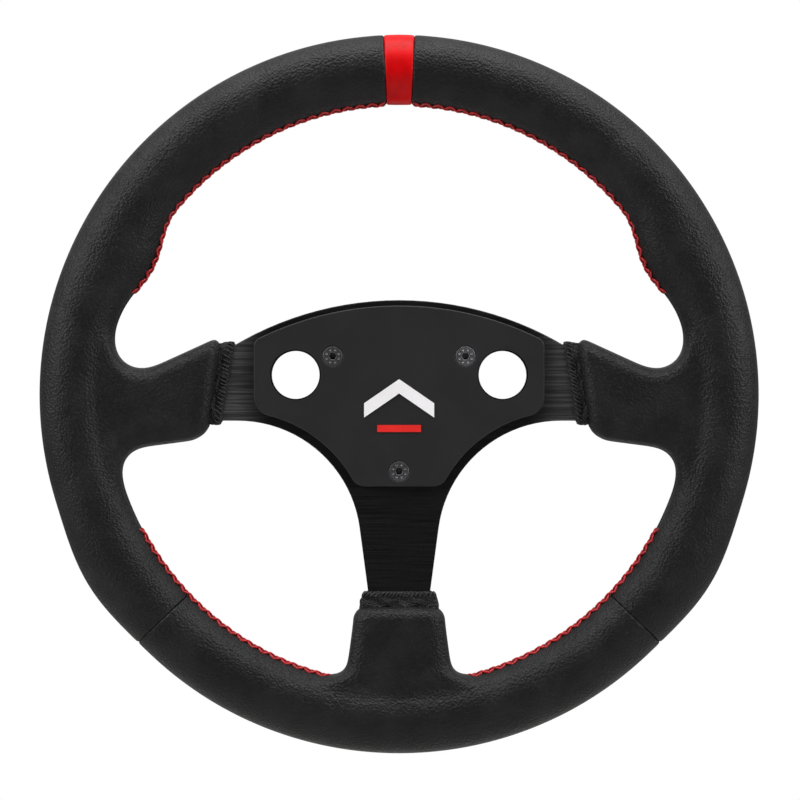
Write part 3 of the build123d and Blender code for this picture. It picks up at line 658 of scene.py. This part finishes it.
# ---------------------------------------------------------------------------------------------------
# The skeleton inside the rim: a steel tube ring, primed black, welded to the three arms.
# ---------------------------------------------------------------------------------------------------
primer = fine_satin("black_epoxy_primer", "#1c1c1c", "#232323", 0.6, 0.4, 0.0)
paint_node("rim_ring", primer)
paint_node("weld_beads", primer)


# ---------------------------------------------------------------------------------------------------
# The quick release: a lathe-turned hub, black anodised, with a red anodised finger collar. The lathe
# leaves fine rings round the axis, which stretch the highlights into fans.
# ---------------------------------------------------------------------------------------------------
def lathe_turned(name, base, groove, rough, feed_mm=0.35, metallic=1.0):
    """Turned metal: fine rings about the steering axis, by radius on the faces and by depth on the sides."""
    made, tree, shader = finish_material(name, Metallic=metallic)
    place = add(tree, "TexCoord").outputs["Object"]
    parts = add(tree, "SeparateXYZ", links={0: place})
    square_x = add(tree, "Math", {"operation": "MULTIPLY"}, {0: parts.outputs[0], 1: parts.outputs[0]})
    square = add(tree, "Math", {"operation": "MULTIPLY_ADD"},
                 {0: parts.outputs[2], 1: parts.outputs[2], 2: square_x.outputs[0]})
    radius = add(tree, "Math", {"operation": "SQRT"}, {0: square.outputs[0]})
    spot = add(tree, "CombineXYZ", links={0: radius.outputs[0], 1: parts.outputs[1]})
    rings = add(tree, "TexNoise", {"Scale": 1 / (feed_mm * MM), "Detail": 2.0},
                {"Vector": spot.outputs[0]}).outputs[0]
    smudge = add(tree, "TexNoise", {"Scale": 1 / (11 * MM), "Detail": 3.0}, {"Vector": place}).outputs[0]
    tint = add(tree, "Mix", {"data_type": "RGBA", 6: colour(base), 7: colour(groove)},
               {0: ramp(tree, rings, 0.0, 1.0, 0.35, 0.7)})
    tree.links.new(tint.outputs[2], shader.inputs["Base Color"])
    tree.links.new(ramp(tree, smudge, rough - 0.06, rough + 0.08, 0.35, 0.65), shader.inputs["Roughness"])
    relief = add(tree, "Bump", {"Strength": 0.35, "Distance": 0.04 * MM}, {"Height": rings})
    tree.links.new(relief.outputs[0], shader.inputs["Normal"])
    return made


paint_node("coupler_body", lathe_turned("turned_black_anodised_aluminium", "#1b1b1c", "#2e2e30", 0.36))
paint_node("release_collar", lathe_turned("turned_red_anodised_aluminium", "#a30d12", "#c01419", 0.3))
bright_steel = lathe_turned("turned_zinc_plated_steel", "#94969a", "#9fa1a4", 0.4)
paint_node("column_spigot", bright_steel)
hardened = lathe_turned("ground_hardened_steel", "#7c7e81", "#88898c", 0.32, 0.2)
for name in ("spline_sleeve", "sleeve_pin", "spring_seat"):
    paint_node(name, hardened)
spring_steel = lathe_turned("oil_tempered_spring_steel", "#3b3c3f", "#55575a", 0.32, 0.5)
for name in ("collar_spring", "retaining_ring"):
    paint_node(name, spring_steel)
polished = lathe_turned("polished_bearing_steel", "#bcbec0", "#c4c6c8", 0.16, 1.0)
for k in range(1, 7):
    paint_node(f"lock_ball_{k}", polished)

# ---------------------------------------------------------------------------------------------------
# The spigot's soft parts: a black nitrile ring that stops rattle, and a thin natural acetal washer
# that the barrel's end beds against.
# ---------------------------------------------------------------------------------------------------
paint_node("spigot_o_ring", fine_satin("black_nitrile_rubber", "#161616", "#1e1e1e", 0.7, 0.3, 0.0))
paint_node("shoulder_washer", fine_satin("natural_acetal", "#d9d8d0", "#e2e1da", 0.42, 0.3, 0.0))
